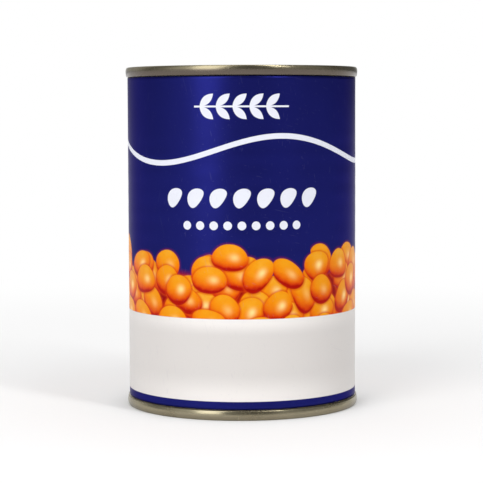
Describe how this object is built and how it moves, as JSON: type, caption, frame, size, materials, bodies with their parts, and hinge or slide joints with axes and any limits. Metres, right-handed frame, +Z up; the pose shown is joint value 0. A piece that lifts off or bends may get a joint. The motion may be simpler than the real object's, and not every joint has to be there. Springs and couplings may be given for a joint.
{
  "type": "canned beans",
  "caption": "Sealed steel food can of beans: a cylinder with a double-seamed panelled end at top and bottom and a wrapped paper label.",
  "frame": {"origin": "centre of the bottom seam's crest, on the surface that the can stands on", "axes": "+Z up along the can's axis, the front of the label faces -Y and its glued lap is at +Y, +X to the right seen from the front"},
  "size_m": [0.0756, 0.0756, 0.11],
  "materials": {
    "tinplate": "bright tinned steel with a fine rolled grain and a faint warm lacquer",
    "label_paper": "coated printed paper, satin, deep blue with a printed heap of beans and a pale band below it"
  },
  "bodies": {
    "root": {"can_body": "tinplate", "top_end": "tinplate", "bottom_end": "tinplate", "label": "label_paper"}
  },
  "joints": []
}
